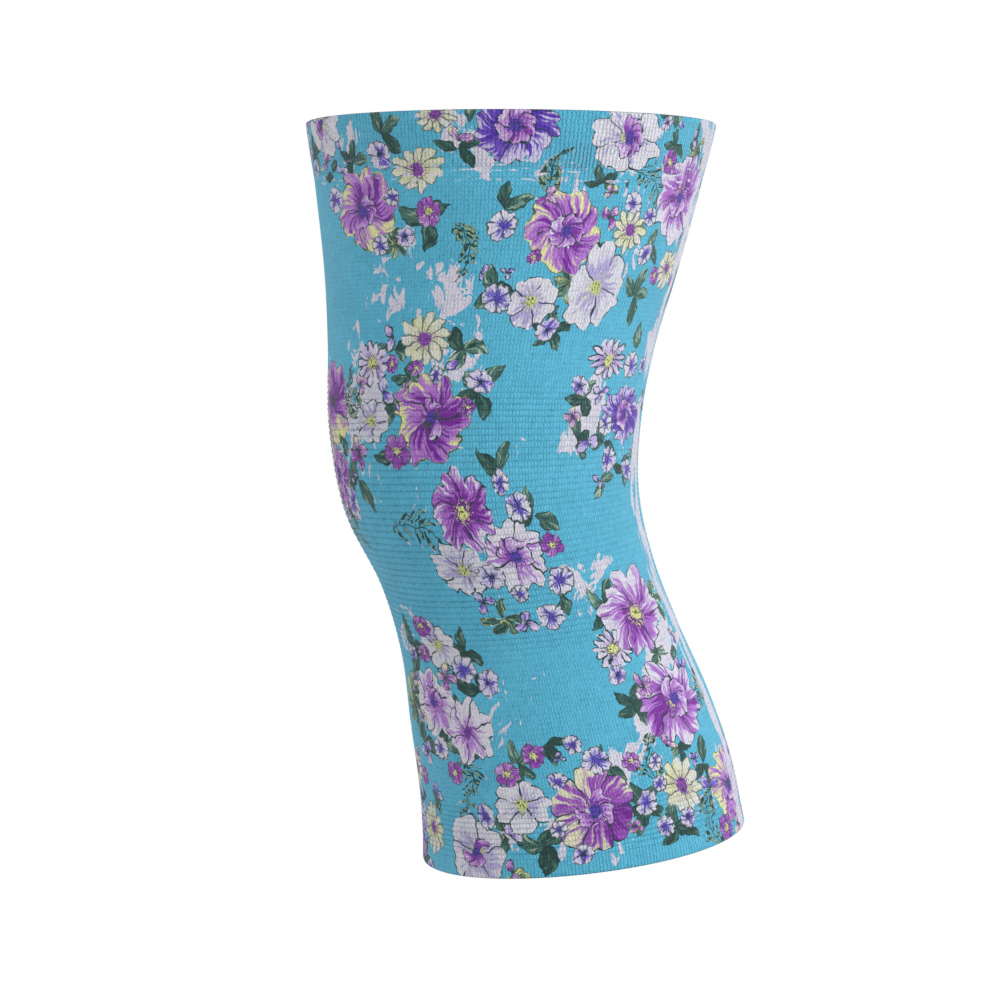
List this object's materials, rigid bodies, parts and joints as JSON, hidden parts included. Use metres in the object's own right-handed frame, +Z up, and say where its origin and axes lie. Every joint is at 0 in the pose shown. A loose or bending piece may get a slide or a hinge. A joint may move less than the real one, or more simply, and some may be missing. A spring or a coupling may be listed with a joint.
{
  "type": "knee sleeve",
  "caption": "Pull-on tubular knee sleeve of ribbed elastic knit with a floral print, open at both ends, kept in its worn form on a slightly bent leg.",
  "frame": {"origin": "in the middle of the hollow at the height of the kneecap, where the knee sits", "axes": "+Z up the leg towards the thigh, -Y forward through the kneecap, +X to the side that the picture shows"},
  "size_m": [0.1528, 0.1788, 0.2925],
  "materials": {
    "tube_knit": "matt printed elastic knit with fine horizontal ribs",
    "welt_knit": "matt printed elastic knit, turned double, with fine vertical wales"
  },
  "bodies": {
    "root": {"top_welt": "welt_knit", "sleeve_body": "tube_knit", "bottom_welt": "welt_knit"}
  },
  "joints": []
}
